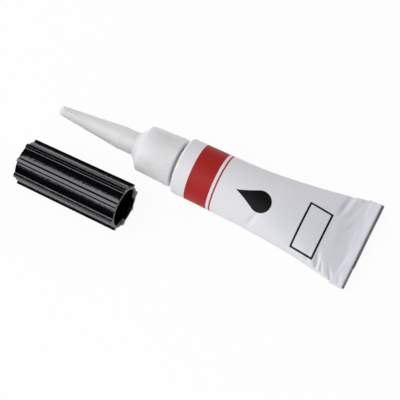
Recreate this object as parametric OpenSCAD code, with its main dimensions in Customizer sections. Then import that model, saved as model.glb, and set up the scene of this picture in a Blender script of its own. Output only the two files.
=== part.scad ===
// Small collapsible glue tube with a screw-on nozzle and a ribbed push-on cap.
// Millimetres, +Z up. The tube lies on its belly at z = 0 with the nozzle towards -X.
// The cap is off and lies on two of its ribs beside the nozzle, with its mouth towards +X.

/* [Tube] */
// Diameter of the tube's round end
tube_d = 12; // [11.2:0.1:13.5]
// Length from the shoulder to the start of the folded end
tube_len = 37.2; // [32:0.1:45]
// Thickness of the soft metal wall
tube_wall = 0.15; // [0.1:0.01:0.25]
// Thickness of the shoulder plate at the round end
shoulder_th = 0.7; // [0.5:0.05:1.2]
// Radius of the shoulder's outer edge
shoulder_round = 0.6; // [0.3:0.05:1]
// Share of the flattening that sets in evenly from the shoulder on
early_flat = 0.35; // [0.1:0.05:0.8]
// Power by which the rest of the flattening sets in late
late_power = 3.5; // [2:0.1:5]
// Distance from the shoulder to the start of the flat that the belly lies on
rest_from = 8; // [4:0.5:11]
// Distance from the shoulder to the end of the flat that the belly lies on
rest_to = 20; // [16:0.5:26]

/* [Folded end] */
// Length of the folded end
fold_len = 3.55; // [2.5:0.05:5]
// Thickness of the folded end
fold_th = 0.9; // [0.7:0.05:1.3]
// How far the fold stands out past the tube on each side
fold_proud = 0.35; // [0.1:0.05:0.5]
// Thickness of the sealing band inside the fold
seal_th = 0.2; // [0.1:0.02:0.3]
// Metal left around the sealing band at the sides and the end of the fold
seal_margin = 0.8; // [0.5:0.05:1.5]
// How far the sealing band reaches out of the fold into the tube
seal_reach = 0.6; // [0.2:0.1:1.5]

/* [Threaded neck] */
// Height of the neck above the shoulder
neck_len = 6; // [5:0.1:7]
// Bore of the neck
neck_bore_d = 4.4; // [3.8:0.1:4.8]
// Outside diameter of the thread
thread_d = 7; // [6.6:0.1:7.6]
// Height of the thread ridge
thread_h = 0.45; // [0.3:0.05:0.5]
// Rise of the thread in one turn
thread_pitch = 1.5; // [1.3:0.05:1.8]
// Width of the ridge at its root
thread_root_w = 0.85; // [0.6:0.05:0.9]
// Width of the ridge at its crest
thread_crest_w = 0.35; // [0.2:0.05:0.45]
// Plain neck between the shoulder and the thread
thread_start = 1; // [0.8:0.1:1.5]
// Plain neck between the thread and the neck's mouth
thread_end = 0.3; // [0.2:0.05:0.8]
// Thickness of the pierced membrane across the neck's mouth
membrane_th = 0.2; // [0.1:0.05:0.4]

/* [Nozzle] */
// Gap between the tube's shoulder and the collar when screwed tight
collar_gap = 0.75; // [0.4:0.05:1.5]
// Length of the collar
collar_len = 7.8; // [7:0.1:9]
// Diameter of the collar at its open rear edge
collar_rear_d = 10.5; // [9.8:0.05:11]
// Diameter of the collar at its front edge
collar_front_d = 9.8; // [9.2:0.05:10.2]
// Length of the steep face in front of the collar
face_len = 0.8; // [0.4:0.05:1.2]
// Diameter where the steep face meets the flare
face_d = 7.3; // [6.5:0.1:7.3]
// Length of the flare between the steep face and the spout's neck
flare_len = 1.2; // [0.8:0.05:2]
// Diameter of the spout's straight neck
spout_d = 4.85; // [4.2:0.05:5.4]
// Length of the spout's straight neck
spout_len = 3.5; // [2.5:0.1:5]
// Length of the spout's cone
cone_len = 14.4; // [11:0.05:16]
// Diameter of the cone at its tip
tip_d = 1.95; // [1.8:0.05:2.4]
// Radius of the tip's rounded rim
tip_round = 0.4; // [0.2:0.05:0.45]
// Diameter of the outlet
outlet_d = 0.9; // [0.6:0.05:1]
// Length of the straight outlet behind the tip
outlet_len = 3; // [2:0.1:5]
// Outside diameter of the piercing sleeve that enters the neck
sleeve_d = 3.2; // [2.9:0.05:3.4]
// Bore of the piercing sleeve, where the channel starts
sleeve_bore_d = 2.4; // [1.8:0.05:2.5]
// Length of the piercing sleeve below the socket's floor
sleeve_len = 1.2; // [0.8:0.1:2]
// Small chamfer on the collar's edges
collar_chamfer = 0.2; // [0.1:0.05:0.4]

/* [Cap] */
// Diameter of the cap over its ribs at its mouth
cap_rib_d = 10.3; // [10.1:0.1:11.5]
// Diameter of the cap over its ribs at its closed end
cap_end_d = 10; // [9.6:0.1:10.1]
// Height of a rib above the cap's wall at the mouth
rib_h = 0.6; // [0.4:0.05:0.8]
// Width of a rib at the mouth
rib_w = 0.95; // [0.8:0.05:1.6]
// Number of ribs
rib_count = 8; // [6:2:12]
// Thickness of the cap's wall between its ribs at the mouth
cap_wall = 0.65; // [0.6:0.05:0.9]
// Step by which the cap's bore narrows around its inner socket
bore_step = 0.3; // [0.2:0.05:0.5]
// Thickness of the closed end
cap_end_th = 1.2; // [0.8:0.1:2]
// Free length between the nozzle's tip and the closed end when the cap is on
tip_room = 3.5; // [2.5:0.05:6]
// Length of the nozzle's tip that the cap's inner socket grips
grip_len = 4; // [2:0.1:5]
// Wall of the inner socket around the gripped tip
grip_wall = 0.8; // [0.6:0.05:1.2]
// Chamfer on the cap's two ends
cap_chamfer = 0.2; // [0.1:0.05:0.4]
// Distance of the mouth in front of the tube's shoulder as the cap lies
cap_back = 6.8; // [3:0.1:15]
// Gap sideways between the tube's round end and the cap's mouth
cap_side_gap = 2; // [1.5:0.05:10]
// Turn of the lying cap about the vertical, in degrees
cap_yaw = -2; // [-8:0.1:8]

/* [Glue] */
// Height of the glue's surface above the table
fill_height = 7.7; // [3:0.1:10]
// Distance of the glue in the nozzle behind the straight outlet
fill_back = 6; // [1:0.1:8]

/* [Clearances] */
// Radial room between the neck's thread and the nozzle's socket
thread_clear = 0.1; // [0.06:0.01:0.14]
// Room between the neck's mouth and the floor of the nozzle's socket
seat_clear = 0.05; // [0.02:0.01:0.15]
// Radial room between the piercing sleeve and the membrane
pierce_clear = 0.15; // [0.1:0.01:0.25]
// Room between the gripped tip and the cap's inner socket
grip_clear = 0.05; // [0.02:0.01:0.1]
// Room between the glue or the sealing band and the walls around it
fill_clear = 0.04; // [0.02:0.01:0.06]

/* [Hidden] */

$fn = 64;
// Points round a section of the tube, and bands in front of, along and behind the flat of the belly.
section_points = 36;
front_bands = 2;
rest_bands = 4;
late_bands = 9;
// Power by which the bands behind the flat get closer together towards the fold.
band_power = 1.5;
// Points in one turn of a thread, the height of its ridge at its ends and the turn that it grows over.
thread_points = 24;
lead_share = 0.4;
lead_turn = 0.125;
// Steps in a rounded edge, and the angle at which the rounded end of the fold stops at a narrow flat.
arc_points = 6;
end_arc = 75;
// Overlap between shapes that are joined or cut.
weld = 0.2;

tube_r = tube_d / 2;
fold_w = PI * tube_r + 2 * fold_proud;
fold_end = tube_len + fold_len;
// The flat of the belly lies level, so the tube's axis tilts by this angle, nozzle up.
lie_angle = atan((half_height(rest_from) - half_height(rest_to)) / (rest_to - rest_from));
lie_height = rest_from * sin(lie_angle) + half_height(rest_from) * cos(lie_angle);

thread_r = thread_d / 2;
neck_r = thread_r - thread_h;
socket_r = thread_r + thread_clear;
socket_floor = neck_len + seat_clear;
sleeve_end = socket_floor - sleeve_len;
// Middle of the ridge at the start of the neck's thread, and of the socket's thread half a turn further on.
neck_thread_z = thread_start + thread_root_w / 2;
socket_thread_z = neck_thread_z + thread_pitch / 2;
neck_turns = (neck_len - thread_end - thread_root_w / 2 - neck_thread_z) / thread_pitch;
socket_turns = (socket_floor - thread_end - thread_root_w / 2 - socket_thread_z) / thread_pitch;

collar_front = collar_gap + collar_len;
face_front = collar_front + face_len;
spout_start = face_front + flare_len;
cone_start = spout_start + spout_len;
tip = cone_start + cone_len;
outlet_start = tip - outlet_len;

cap_wall_d = cap_rib_d - 2 * rib_h;
cap_bore_d = cap_wall_d - 2 * cap_wall;
// The cap's mouth seats where the steep face, or the flare behind a narrow bore, is as wide as the bore.
seat = cap_bore_d >= face_d
    ? collar_front + face_len * (collar_front_d - cap_bore_d) / (collar_front_d - face_d)
    : face_front + flare_len * (face_d - cap_bore_d) / (face_d - spout_d);
cap_depth = tip - seat + tip_room;
cap_len = cap_depth + cap_end_th;
cap_mouth_len = cap_depth - tip_room - grip_len;
rib_step = 360 / rib_count;
rib_half_angle = asin(rib_w / cap_rib_d);
// The cap lies on two ribs, so its draft lifts the mouth by this angle.
rest_share = cos(rib_step / 2 - rib_half_angle);
cap_tilt = atan((cap_rib_d - cap_end_d) / 2 * rest_share / cap_len);
cap_height = cap_rib_d / 2 * rest_share * cos(cap_tilt);
side_angle = (floor(90 / rib_step - 0.5) + 0.5) * rib_step;
cap_half_w = cap_rib_d / 2 * sin(min(90, side_angle + rib_half_angle));
cap_mouth_y = -(tube_r + cap_side_gap + cap_half_w);

// The origin is under the middle of the whole object's box.
x_low = min(-tip * cos(lie_angle),
    -cap_back - cap_len * cos(cap_tilt) * cos(cap_yaw)
        - cap_end_d / 2 * norm([sin(cap_yaw), sin(cap_tilt)]));
x_high = fold_end * cos(lie_angle);
y_low = cap_mouth_y - cos(cap_yaw) * cap_half_w
    - max(0, cap_len * sin(cap_yaw) - cap_half_w * (1 - cap_end_d / cap_rib_d));
y_high = fold_w / 2;
origin_shift = [-(x_low + x_high) / 2, -(y_low + y_high) / 2, 0];

// How far the tube is flattened at a share u of its length: 0 is round and 1 is the flat fold.
function flatness(u) = early_flat * u + (1 - early_flat) * pow(u, late_power);

// Half height and half width of the tube at distance s from the shoulder.
function half_height(s) = s >= tube_len ? fold_th / 2
    : fold_th / 2 + (tube_r - fold_th / 2) * (1 - flatness(s / tube_len));
function half_width(s) = s > tube_len ? fold_w / 2
    : tube_r + (fold_w / 2 - fold_proud - tube_r) * flatness(s / tube_len);

// Depth of the underside below the axis at s, which runs straight along the flat of the belly.
function under_depth(s) = s <= rest_from || s >= rest_to ? half_height(s)
    : half_height(rest_from)
        + (half_height(rest_to) - half_height(rest_from)) * (s - rest_from) / (rest_to - rest_from);

// Outline of the tube's section at s, drawn in by an inset: two round sides with a flat top and underside.
// The top and underside reach the full height, so that the flat of the belly is one plane.
function section(s, inset) =
    let(half_w = half_width(s) - inset, half_h = (half_height(s) + under_depth(s)) / 2 - inset)
    let(mid = (half_height(s) - under_depth(s)) / 2, first = 180 / section_points)
    [for (i = [0 : section_points - 1]) let(a = first + i * 360 / section_points)
        [s, sign(cos(a)) * (half_w - half_h) + half_h * cos(a), mid + half_h * sin(a) / cos(first)]];

// Places of the sections between two distances from the shoulder, closer together towards the fold.
function stations(first, last) = concat(
    [for (i = [0 : front_bands - 1]) first + (rest_from - first) * i / front_bands],
    [for (i = [0 : rest_bands - 1]) rest_from + (rest_to - rest_from) * i / rest_bands],
    [for (i = [0 : late_bands]) rest_to + (last - rest_to) * (1 - pow(1 - i / late_bands, band_power))]
);

// Radius of the nozzle's channel at height z above the shoulder.
function channel_r(z) = sleeve_bore_d / 2
    + (outlet_d - sleeve_bore_d) / 2 * (z - sleeve_end) / (outlet_start - sleeve_end);

// Radius of the outside of the spout's cone at height z above the shoulder.
function cone_r(z) = spout_d / 2 + (tip_d - spout_d) / 2 * (z - cone_start) / (tip - cone_start);

// A closed solid through a list of rings that all have the same number of points.
module skin(rings) {
    count = len(rings[0]);
    last = len(rings) - 1;
    polyhedron(
        points = [for (ring = rings) each ring],
        faces = concat(
            [[for (j = [0 : count - 1]) j]],
            [for (i = [0 : last - 1], j = [0 : count - 1])
                [i * count + j, (i + 1) * count + j, (i + 1) * count + (j + 1) % count]],
            [for (i = [0 : last - 1], j = [0 : count - 1])
                [i * count + j, (i + 1) * count + (j + 1) % count, i * count + (j + 1) % count]],
            [[for (j = [count - 1 : -1 : 0]) last * count + j]]));
}

// Moves a piece from the tube's own axis, with the shoulder at 0 and the fold at +X, to where it lies.
module lay() {
    translate(origin_shift + [0, 0, lie_height]) rotate([0, lie_angle, 0]) children();
}

// Moves a piece that stands on the shoulder, with the nozzle's tip at +Z, to where it lies.
module stack() {
    lay() rotate([0, -90, 0]) children();
}

// Moves the cap from its own axis, with its mouth at 0 and its closed end at -Z, to where it lies.
module at_cap() {
    translate(origin_shift + [-cap_back, cap_mouth_y, cap_height])
        rotate([0, 0, cap_yaw]) rotate([0, 90 - cap_tilt, 0]) children();
}

// A thread's ridge round the Z axis, on a cylinder of the root radius. A negative height points inwards.
module thread_ridge(root_r, height, start, turns) {
    steps = round(turns * thread_points);
    foot = root_r - sign(height) * weld;
    function lead(i) = min(1, min(i, steps - i) / (lead_turn * thread_points));
    function crest(i) = root_r + height * (lead_share + (1 - lead_share) * lead(i));
    function ring(i) =
        let(a = 360 * i / thread_points, z = start + thread_pitch * i / thread_points)
        [for (p = [[foot, -thread_root_w], [crest(i), -thread_crest_w],
                   [crest(i), thread_crest_w], [foot, thread_root_w]])
            [p[0] * cos(a), p[0] * sin(a), z + p[1] / 2]];
    if (height > 0) skin([for (i = [steps : -1 : 0]) ring(i)]);
    else skin([for (i = [0 : steps]) ring(i)]);
}

// The outside of the tube, from the shoulder's rounded edge to the rounded end of the fold.
module tube_outside() {
    end_r = fold_th / 2;
    shoulder = [
        for (i = [0 : arc_points - 1]) let(a = 90 * i / arc_points)
            section(shoulder_round * (1 - cos(a)), shoulder_round * (1 - sin(a)))
    ];
    wall = [for (s = stations(shoulder_round, tube_len)) section(s, 0)];
    fold = [
        section(tube_len + fold_proud, 0),
        for (i = [0 : arc_points]) let(a = end_arc * i / arc_points)
            section(fold_end - end_r * (1 - sin(a)), end_r * (1 - cos(a)))
    ];
    skin(concat(shoulder, wall, fold));
}

// The room inside the tube, a margin away from its outside, up to the distance last from the shoulder.
module tube_room(margin, last) {
    skin([for (s = stations(shoulder_th + margin - tube_wall, last)) section(s, margin)]);
}

// The slot inside the fold that holds the sealing band, drawn in by a margin.
module seal_room(margin) {
    length = fold_len + seal_reach - seal_margin - 2 * margin;
    width = PI * tube_r - 2 * seal_margin - 2 * margin;
    height = seal_th - 2 * margin;
    translate([tube_len + margin - seal_reach, -width / 2, -height / 2]) cube([length, width, height]);
}

// Soft metal tube with its shoulder, threaded neck, pierced membrane and folded end.
module tube_shell() {
    color("whitesmoke") difference() {
        union() {
            lay() tube_outside();
            stack() translate([0, 0, -weld]) cylinder(r = neck_r, h = neck_len + weld);
            stack() thread_ridge(neck_r, thread_h, neck_thread_z, neck_turns);
        }
        lay() tube_room(tube_wall, tube_len);
        lay() seal_room(0);
        stack() translate([0, 0, -shoulder_th - weld])
            cylinder(d = neck_bore_d, h = neck_len - membrane_th + shoulder_th + weld);
        stack() translate([0, 0, neck_len - membrane_th - weld])
            cylinder(d = sleeve_d + 2 * pierce_clear, h = membrane_th + 2 * weld);
    }
}

// Sealing band squeezed inside the folded end.
module end_seal() {
    color("khaki") lay() seal_room(fill_clear);
}

// Glue in the tube and its neck, with a level surface.
module glue_fill() {
    glue_end = tube_len - seal_reach - fill_clear;
    neck_fill = sleeve_end - fill_clear;
    box = 2 * (tube_len + neck_len);
    color("aliceblue") intersection() {
        union() {
            lay() tube_room(tube_wall + fill_clear, glue_end);
            stack() translate([0, 0, -shoulder_th - weld])
                cylinder(d = neck_bore_d - 2 * fill_clear, h = neck_fill + shoulder_th + weld);
        }
        translate([-box / 2, -box / 2, fill_height - box]) cube(box);
    }
}

// Glue that stands in the nozzle's channel, short of the outlet.
module nozzle_glue() {
    low = sleeve_end + fill_clear;
    high = outlet_start - fill_back;
    color("azure") stack() rotate_extrude() polygon([
        [0, low], [channel_r(low) - fill_clear, low], [channel_r(high) - fill_clear, high], [0, high]
    ]);
}

// Screw-on nozzle: collar with its threaded socket and piercing sleeve, flare, spout neck and cone.
module nozzle() {
    rear_r = collar_rear_d / 2;
    front_r = collar_front_d / 2;
    rim_r = cone_r(tip) - tip_round;
    outside = [
        [socket_r, collar_gap], [rear_r - collar_chamfer, collar_gap], [rear_r, collar_gap + collar_chamfer],
        [front_r, collar_front - collar_chamfer], [front_r - collar_chamfer, collar_front],
        [face_d / 2, face_front], [spout_d / 2, spout_start], [spout_d / 2, cone_start]
    ];
    rim = [
        for (i = [0 : arc_points]) let(a = 90 * i / arc_points)
            [rim_r + tip_round * cos(a), tip - tip_round * (1 - sin(a))]
    ];
    inside = [
        [outlet_d / 2, tip], [outlet_d / 2, outlet_start], [sleeve_bore_d / 2, sleeve_end],
        [sleeve_d / 2, sleeve_end], [sleeve_d / 2, socket_floor], [socket_r, socket_floor]
    ];
    color("gainsboro") stack() {
        rotate_extrude() polygon(concat(outside, rim, inside));
        thread_ridge(socket_r, -thread_h, socket_thread_z, socket_turns);
    }
}

// Outline of the cap across its mouth: a round wall with straight ribs, two of which point down.
module cap_outline() {
    circle(d = cap_wall_d);
    intersection() {
        circle(d = cap_rib_d);
        for (i = [0 : rib_count - 1]) rotate((i + 0.5) * rib_step)
            translate([0, -rib_w / 2]) square([cap_rib_d, rib_w]);
    }
}

// Ribbed push-on cap with some draft, a closed end and an inner socket that grips the nozzle's tip.
module cap() {
    grip_root = tip - grip_len;
    grip_d = 2 * (cone_r(grip_root) + grip_clear + grip_wall);
    edge_r = cap_rib_d / 2;
    end_r = cap_end_d / 2;
    color("#1a1a1c") at_cap() difference() {
        intersection() {
            mirror([0, 0, 1]) linear_extrude(cap_len, scale = cap_end_d / cap_rib_d) cap_outline();
            rotate_extrude() polygon([
                [0, -cap_len], [end_r - cap_chamfer, -cap_len],
                [edge_r, edge_r - end_r + cap_chamfer - cap_len],
                [edge_r, -cap_chamfer], [edge_r - cap_chamfer, 0], [0, 0]
            ]);
        }
        translate([0, 0, -cap_mouth_len]) cylinder(d = cap_bore_d, h = cap_mouth_len + weld);
        difference() {
            translate([0, 0, -cap_depth])
                cylinder(d = cap_bore_d - 2 * bore_step, h = cap_depth - cap_mouth_len + weld);
            translate([0, 0, -cap_depth - weld]) difference() {
                cylinder(d = grip_d, h = tip_room + grip_len + weld);
                translate([0, 0, tip_room + weld]) cylinder(
                    r1 = cone_r(tip) + grip_clear, r2 = cone_r(grip_root - weld) + grip_clear,
                    h = grip_len + weld);
            }
        }
    }
}

tube_shell();
end_seal();
glue_fill();
nozzle_glue();
nozzle();
cap();
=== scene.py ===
"""Looks of a small metal glue tube with its cap off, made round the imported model."""

import logging
import math
from dataclasses import dataclass
from enum import Enum
from typing import Mapping, Optional, Sequence, Tuple, Union

import bpy
import numpy as np
from mathutils import Matrix, Vector


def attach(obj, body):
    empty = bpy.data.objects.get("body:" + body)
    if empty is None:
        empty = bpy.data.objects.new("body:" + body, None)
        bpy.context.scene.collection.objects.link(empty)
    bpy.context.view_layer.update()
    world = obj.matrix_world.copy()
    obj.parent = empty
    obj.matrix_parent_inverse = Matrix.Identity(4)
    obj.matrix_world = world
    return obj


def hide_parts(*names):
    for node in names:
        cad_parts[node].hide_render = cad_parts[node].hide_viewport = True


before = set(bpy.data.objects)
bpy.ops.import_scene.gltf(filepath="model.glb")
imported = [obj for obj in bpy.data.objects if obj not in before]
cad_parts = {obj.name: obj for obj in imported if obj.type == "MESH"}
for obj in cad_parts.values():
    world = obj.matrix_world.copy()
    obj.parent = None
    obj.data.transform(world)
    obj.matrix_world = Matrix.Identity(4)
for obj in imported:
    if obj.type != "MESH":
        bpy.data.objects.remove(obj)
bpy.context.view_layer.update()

Array = np.ndarray
Pair = Tuple[float, float]
Triple = Tuple[float, float, float]
Colour = Triple

MM = 0.001
TURN = 2 * math.pi
QUARTER = math.pi / 2
STRAIGHT_RAD = 1e-3
SEAM_MM = 0.05
WHITE = (1.0, 1.0, 1.0, 1.0)
PICTURE_PX = 400
SENSOR_MM = 36.0

log = logging.getLogger("glue_tube")


def smooth_step(low: float, high: float, x: Array) -> Array:
    """Rises from 0 at low to 1 at high along 3t^2 - 2t^3.

    Args:
        low: value where the rise starts.
        high: value where the rise ends.
        x: values to map.

    Returns:
        The share of the rise at each value.
    """
    t = np.clip((x - low) / (high - low), 0, 1)
    return t * t * (3 - 2 * t)


def bell(x: Array) -> Array:
    """Bell curve exp(-x^2)."""
    return np.exp(-np.square(x))


def midpoint_angles(count: int) -> Array:
    """Angles of count points round a turn, half a step off 0, so that point j mirrors point count - 1 - j."""
    return TURN * (np.arange(count) + 0.5) / count


def turned(x: Array, radius: Array, angles: Array) -> Array:
    """Rings (x, r cos a, r sin a) about the x axis.

    Args:
        x: place of each ring, as a column.
        radius: radius of each ring as a column, or of each point.
        angles: angle of each point of a ring.

    Returns:
        Points per ring and point.
    """
    x, radius, angles = np.broadcast_arrays(x, radius, angles)
    return np.stack([x, radius * np.cos(angles), radius * np.sin(angles)], axis=-1)


def blunt_sine(angles: Array, power: Array) -> Array:
    """Sine of each angle, its size raised to each ring's power. Below 1 that squares a round section off."""
    sine = np.sin(angles)
    return np.sign(sine) * np.abs(sine) ** power[:, None]


def full_colour(colour: Colour) -> Tuple[float, float, float, float]:
    """The colour with alpha 1."""
    return (*colour, 1.0)


@dataclass(frozen=True)
class Placement:
    """A piece's own axes in the row frame, in millimetres: x along its axis, y sideways, z up."""

    origin: Triple
    pitch: float = 0.0
    yaw: float = 0.0

    def place(self, points: Array) -> Array:
        """Turns points by the pitch about y and the yaw about z, then moves them to the origin.

        Args:
            points: array of points whose last axis holds x, y and z.

        Returns:
            The points in the row frame, in millimetres.
        """
        p = math.radians(self.pitch)
        w = math.radians(self.yaw)
        tilt = np.array([[math.cos(p), 0, -math.sin(p)], [0, 1, 0], [math.sin(p), 0, math.cos(p)]])
        swing = np.array([[math.cos(w), math.sin(w), 0], [-math.sin(w), math.cos(w), 0], [0, 0, 1]])
        return points @ tilt @ swing + np.array(self.origin)


TUBE_PLACE = Placement(origin=(-4.84063, 4.03059, 6.22382), pitch=4.86339)
CAP_PLACE = Placement(origin=(-11.64063, -8.88891, 4.91939), pitch=-0.34264, yaw=-2.0)


class End(Enum):
    """How the first or last ring of a surface is closed."""

    POLE = "fan to one vertex on the axis"
    BRIDGE = "strip between the two mirrored halves of the ring"
    LOOP = "quads to the ring at the other end"


@dataclass
class RingSurface:
    """A closed surface through a stack of rings that all have the same number of points.

    Quads join ring i to ring i + 1, and the last point of a ring to its first. Each end is closed.
    """

    points: Array
    first: End
    last: End

    def faces(self) -> Tuple[Array, Array]:
        """Quads of the sides and of bridged ends, and triangles of the poles.

        Returns:
            Quads as an array of four indices, and triangles as an array of three.
        """
        rows, around = self.points.shape[:2]
        row = np.arange(rows if self.last is End.LOOP else rows - 1)[:, None]
        low = row * around
        high = (row + 1) % rows * around
        here = np.arange(around)[None, :]
        after = (here + 1) % around
        sides = np.stack([low + here, low + after, high + after, high + here], axis=-1)
        quads = [sides.reshape(-1, 4)]
        fans = [np.zeros((0, 3), int)]
        pole = rows * around
        for end, start, flip in ((self.first, 0, True), (self.last, (rows - 1) * around, False)):
            if end is End.BRIDGE:
                j = np.arange(around // 2 - 1)
                strip = np.stack([j, j + 1, around - 2 - j, around - 1 - j], axis=-1) + start
                quads.append(strip[:, ::-1] if flip else strip)
            elif end is End.POLE:
                fan = np.stack([here[0] + start, after[0] + start, np.full(around, pole)], axis=-1)
                fans.append(fan[:, ::-1] if flip else fan)
                pole += 1
        return np.concatenate(quads), np.concatenate(fans)

    def with_poles(self, values: Array) -> Array:
        """Flattens values given per ring and point, and adds the mean of an end ring for each pole.

        Args:
            values: numbers or vectors per ring and point.

        Returns:
            One row per vertex.
        """
        flat = values.reshape((-1,) + values.shape[2:])
        ends = ((0, self.first), (-1, self.last))
        return np.concatenate([flat] + [values[i].mean(axis=0)[None] for i, end in ends if end is End.POLE])

    def make(self, name: str, attributes: Optional[Mapping[str, Array]] = None) -> bpy.types.Object:
        """Makes a smooth mesh object in the row frame with its faces outwards.

        Args:
            name: name of the object.
            attributes: values per ring and point that materials read.

        Returns:
            The new object, linked to the scene.
        """
        vertices = self.with_poles(self.points)
        quads, fans = self.faces()
        corners = np.concatenate([quads[:, :3], quads[:, [0, 2, 3]], fans])
        a, b, c = (vertices[corners[:, k]] - vertices.mean(axis=0) for k in range(3))
        if np.einsum("ij,ij->", a, np.cross(b, c)) < 0:
            quads, fans = quads[:, ::-1], fans[:, ::-1]
        mesh = bpy.data.meshes.new(name)
        mesh.from_pydata((vertices * MM).tolist(), [], quads.tolist() + fans.tolist())
        mesh.polygons.foreach_set("use_smooth", np.ones(len(mesh.polygons), dtype=bool))
        for key, values in (attributes or {}).items():
            layer = mesh.attributes.new(key, "FLOAT", "POINT")
            layer.data.foreach_set("value", self.with_poles(values).astype(np.float32))
        mesh.update()
        piece = bpy.data.objects.new(name, mesh)
        bpy.context.scene.collection.objects.link(piece)
        log.info("%s: %d faces", name, len(mesh.polygons))
        return piece


def rounded_path(corners: Sequence[Triple], step: float, arc: int = 6) -> Array:
    """A path through corners, each rounded by an arc, with points no further apart than a step.

    The arc touches both legs at radius times tan(half the turn) from the corner, and its middle lies on the
    bisector.

    Args:
        corners: x, y and rounding radius of each corner; the radius of the two ends is not used.
        step: longest distance between points on a straight stretch.
        arc: number of steps in each arc.

    Returns:
        Array of points on the path.
    """
    points = np.array([c[:2] for c in corners], float)
    bends = [points[:1]]
    for i in range(1, len(points) - 1):
        back = points[i - 1] - points[i]
        ahead = points[i + 1] - points[i]
        back /= np.hypot(*back)
        ahead /= np.hypot(*ahead)
        inner = math.acos(np.clip(back @ ahead, -1, 1))
        radius = corners[i][2]
        if radius <= 0 or inner > math.pi - STRAIGHT_RAD:
            bends.append(points[i: i + 1])
            continue
        bisector = (back + ahead) / np.hypot(*(back + ahead))
        middle = points[i] + bisector * radius / math.sin(inner / 2)
        start = points[i] + back * radius / math.tan(inner / 2) - middle
        turn = math.pi - inner
        sense = -np.sign(back[0] * ahead[1] - back[1] * ahead[0])
        t = sense * turn * np.linspace(0, 1, arc + 1)
        x = start[0] * np.cos(t) - start[1] * np.sin(t)
        y = start[0] * np.sin(t) + start[1] * np.cos(t)
        bends.append(middle + np.stack([x, y], axis=-1))
    bends.append(points[-1:])
    path = [bends[0]]
    for before, after in zip(bends, bends[1:]):
        gap = np.hypot(*(after[0] - before[-1]))
        count = max(1, math.ceil(gap / step))
        between = np.linspace(0, 1, count + 1)[1:-1, None]
        path += [before[-1] + (after[0] - before[-1]) * between, after]
    return np.concatenate(path)


@dataclass(frozen=True)
class Thread:
    """A screw thread round an axis: a ridge with sloping flanks that fades in and out at its ends."""

    start: float
    turns: float
    pitch: float = 1.5
    height: float = 0.45
    root_width: float = 0.85
    crest_width: float = 0.35
    lead: float = 0.15

    def ridge(self, z: Array, angle: Array) -> Array:
        """Height of the ridge at height z above the shoulder and at an angle.

        The ridge's middle climbs by one pitch a turn, and the flanks fall evenly from crest to root.

        Args:
            z: heights above the shoulder.
            angle: angles about the axis, in radians, rising with a right-hand thread.

        Returns:
            Height of the ridge over the root, in millimetres.
        """
        along = (z - self.start) / self.pitch - angle / TURN
        turn = np.round(along) + angle / TURN
        off = np.abs(along - np.round(along)) * self.pitch
        flank = np.clip((self.root_width / 2 - off) * 2 / (self.root_width - self.crest_width), 0, 1)
        fade = np.clip(turn / self.lead, 0, 1) * np.clip((self.turns - turn) / self.lead, 0, 1)
        return self.height * flank * fade


Value = Union["Link", float]


class Link:
    """An output socket of a shader node. Arithmetic on it adds Math nodes."""

    def __init__(self, shader: "Shader", socket: bpy.types.NodeSocket) -> None:
        """Keeps the socket and the shader that it belongs to."""
        self.shader = shader
        self.socket = socket

    def _math(self, operation: str, first: Value, second: Value = 0.0) -> "Link":
        """Adds one Math node."""
        return self.shader.node("ShaderNodeMath", {"operation": operation}, {0: first, 1: second})

    def __add__(self, other: Value) -> "Link":
        """Sum."""
        return self._math("ADD", self, other)

    __radd__ = __add__

    def __sub__(self, other: Value) -> "Link":
        """Difference."""
        return self._math("SUBTRACT", self, other)

    def __rsub__(self, other: Value) -> "Link":
        """Difference from a number."""
        return self._math("SUBTRACT", other, self)

    def __mul__(self, other: Value) -> "Link":
        """Product."""
        return self._math("MULTIPLY", self, other)

    def __truediv__(self, other: Value) -> "Link":
        """Quotient."""
        return self._math("DIVIDE", self, other)

    def __pow__(self, other: Value) -> "Link":
        """Power."""
        return self._math("POWER", self, other)

    def __abs__(self) -> "Link":
        """Absolute value."""
        return self._math("ABSOLUTE", self)

    def least(self, other: Value) -> "Link":
        """The smaller of the two."""
        return self._math("MINIMUM", self, other)

    def most(self, other: Value) -> "Link":
        """The larger of the two."""
        return self._math("MAXIMUM", self, other)

    def rise(self, low: float, high: float) -> "Link":
        """Smooth step from 0 at low to 1 at high.

        Args:
            low: value where the step starts.
            high: value where the step ends.

        Returns:
            Link to the step.
        """
        settings = {"interpolation_type": "SMOOTHSTEP"}
        return self.shader.node("ShaderNodeMapRange", settings, {0: self, 1: low, 2: high, 3: 0.0, 4: 1.0})


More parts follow.
